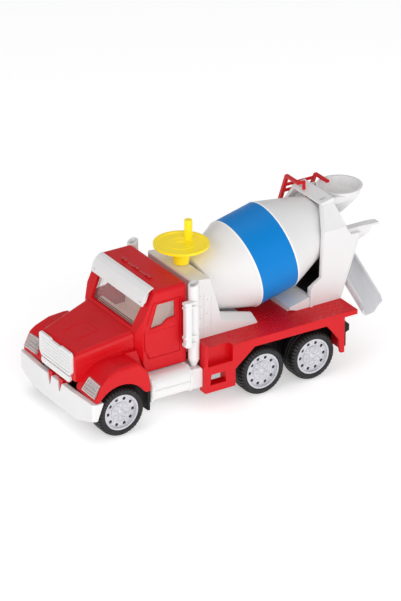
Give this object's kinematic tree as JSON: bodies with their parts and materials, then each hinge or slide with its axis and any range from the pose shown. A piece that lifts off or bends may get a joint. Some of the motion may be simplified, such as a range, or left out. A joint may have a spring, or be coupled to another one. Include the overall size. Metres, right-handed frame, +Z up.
{
  "type": "toy cement mixer truck",
  "caption": "Toy cement mixer truck with a hand crank that turns the tilted drum through bevel gears, a swinging chute, opening doors and rolling wheels.",
  "frame": {"origin": "on the floor under the middle of the truck's bounding box", "axes": "+Z up, +X towards the rear of the truck, +Y towards its left side"},
  "size_m": [0.236, 0.0936, 0.1182],
  "materials": {
    "red_plastic": "satin moulded plastic",
    "white_plastic": "satin moulded plastic",
    "grey_plastic": "satin moulded plastic",
    "black_plastic": "matte moulded plastic",
    "clear_plastic": "clear plastic",
    "steel": "drawn wire",
    "beige_plastic": "matte moulded plastic",
    "blue_plastic": "satin moulded plastic",
    "yellow_plastic": "satin moulded plastic",
    "gear_plastic": "natural acetal",
    "tyre_rubber": "matte rubber",
    "silver_plastic": "silver painted plastic"
  },
  "bodies": {
    "truck": {"deck": "red_plastic", "cab_shell": "red_plastic", "hood": "red_plastic", "tow_hooks": "red_plastic", "marker_lights": "red_plastic", "ladder": "red_plastic", "front_bumper": "white_plastic", "grille": "white_plastic", "grille_bar": "white_plastic", "sun_visor": "white_plastic", "side_tank_left": "white_plastic", "side_tank_right": "white_plastic", "exhaust_left": "white_plastic", "exhaust_right": "white_plastic", "drum_housing": "white_plastic", "housing_cover": "white_plastic", "yoke_left": "white_plastic", "yoke_right": "white_plastic", "yoke_bridge": "white_plastic", "yoke_foot": "white_plastic", "drum_ring": "white_plastic", "hopper": "white_plastic", "collector": "white_plastic", "chute_post": "white_plastic", "chassis_frame": "black_plastic", "rear_bumper": "black_plastic", "rear_panel": "black_plastic", "windshield": "clear_plastic", "headlight_left": "clear_plastic", "headlight_right": "clear_plastic", "base_screws": "steel", "cab_interior": "beige_plastic"},
    "door_left": {"door_left": "red_plastic", "door_glass_left": "clear_plastic"},
    "door_right": {"door_right": "red_plastic", "door_glass_right": "clear_plastic"},
    "crank": {"crank": "yellow_plastic", "crank_pinion": "gear_plastic"},
    "drum": {"drum_front": "white_plastic", "drum_band": "blue_plastic", "drum_rear": "white_plastic", "drum_shaft": "gear_plastic", "drum_gear": "gear_plastic"},
    "chute_swivel": {"chute_bracket": "grey_plastic"},
    "chute_trough": {"chute": "grey_plastic"},
    "wheels_front": {"axle_front": "steel", "tyre_front_left": "tyre_rubber", "rim_front_left": "silver_plastic", "tyre_front_right": "tyre_rubber", "rim_front_right": "silver_plastic"},
    "wheels_mid": {"axle_mid": "steel", "tyre_mid_left": "tyre_rubber", "rim_mid_left": "silver_plastic", "tyre_mid_right": "tyre_rubber", "rim_mid_right": "silver_plastic"},
    "wheels_rear": {"axle_rear": "steel", "tyre_rear_left": "tyre_rubber", "rim_rear_left": "silver_plastic", "tyre_rear_right": "tyre_rubber", "rim_rear_right": "silver_plastic"}
  },
  "joints": [
    {"name": "wheels_front_spin", "type": "hinge", "parent": "truck", "child": "wheels_front", "pos_m": [-0.0948, 0, 0.017], "axis": [0, 1, 0], "continuous": true},
    {"name": "wheels_mid_spin", "type": "hinge", "parent": "truck", "child": "wheels_mid", "pos_m": [0.0131, 0, 0.017], "axis": [0, 1, 0], "continuous": true},
    {"name": "wheels_rear_spin", "type": "hinge", "parent": "truck", "child": "wheels_rear", "pos_m": [0.0526, 0, 0.017], "axis": [0, 1, 0], "continuous": true},
    {"name": "drum_spin", "type": "hinge", "parent": "truck", "child": "drum", "pos_m": [-0.0213, 0, 0.0642], "axis": [0.9709, 0, 0.2394], "continuous": true},
    {"name": "crank_spin", "type": "hinge", "parent": "truck", "child": "crank", "pos_m": [-0.0213, 0, 0.09], "axis": [0, 0, 1], "continuous": true},
    {"name": "door_left_hinge", "type": "hinge", "parent": "truck", "child": "door_left", "pos_m": [-0.0698, 0.0343, 0.057], "axis": [0, 0, 1], "range_deg": [0, 60]},
    {"name": "door_right_hinge", "type": "hinge", "parent": "truck", "child": "door_right", "pos_m": [-0.0698, -0.0343, 0.057], "axis": [0, 0, 1], "range_deg": [-60, 0]},
    {"name": "chute_swing", "type": "hinge", "parent": "truck", "child": "chute_swivel", "pos_m": [0.0975, 0, 0.0496], "axis": [0, 0, 1], "range_deg": [0, 160]},
    {"name": "chute_tilt", "type": "hinge", "parent": "chute_swivel", "child": "chute_trough", "pos_m": [0.09811, -0.00345, 0.0562], "axis": [0.9848, 0.1736, 0], "range_deg": [-10, 12]}
  ],
  "couplings": [
    {"joint": "crank_spin", "follows": "drum_spin", "ratio": -1.5}
  ]
}
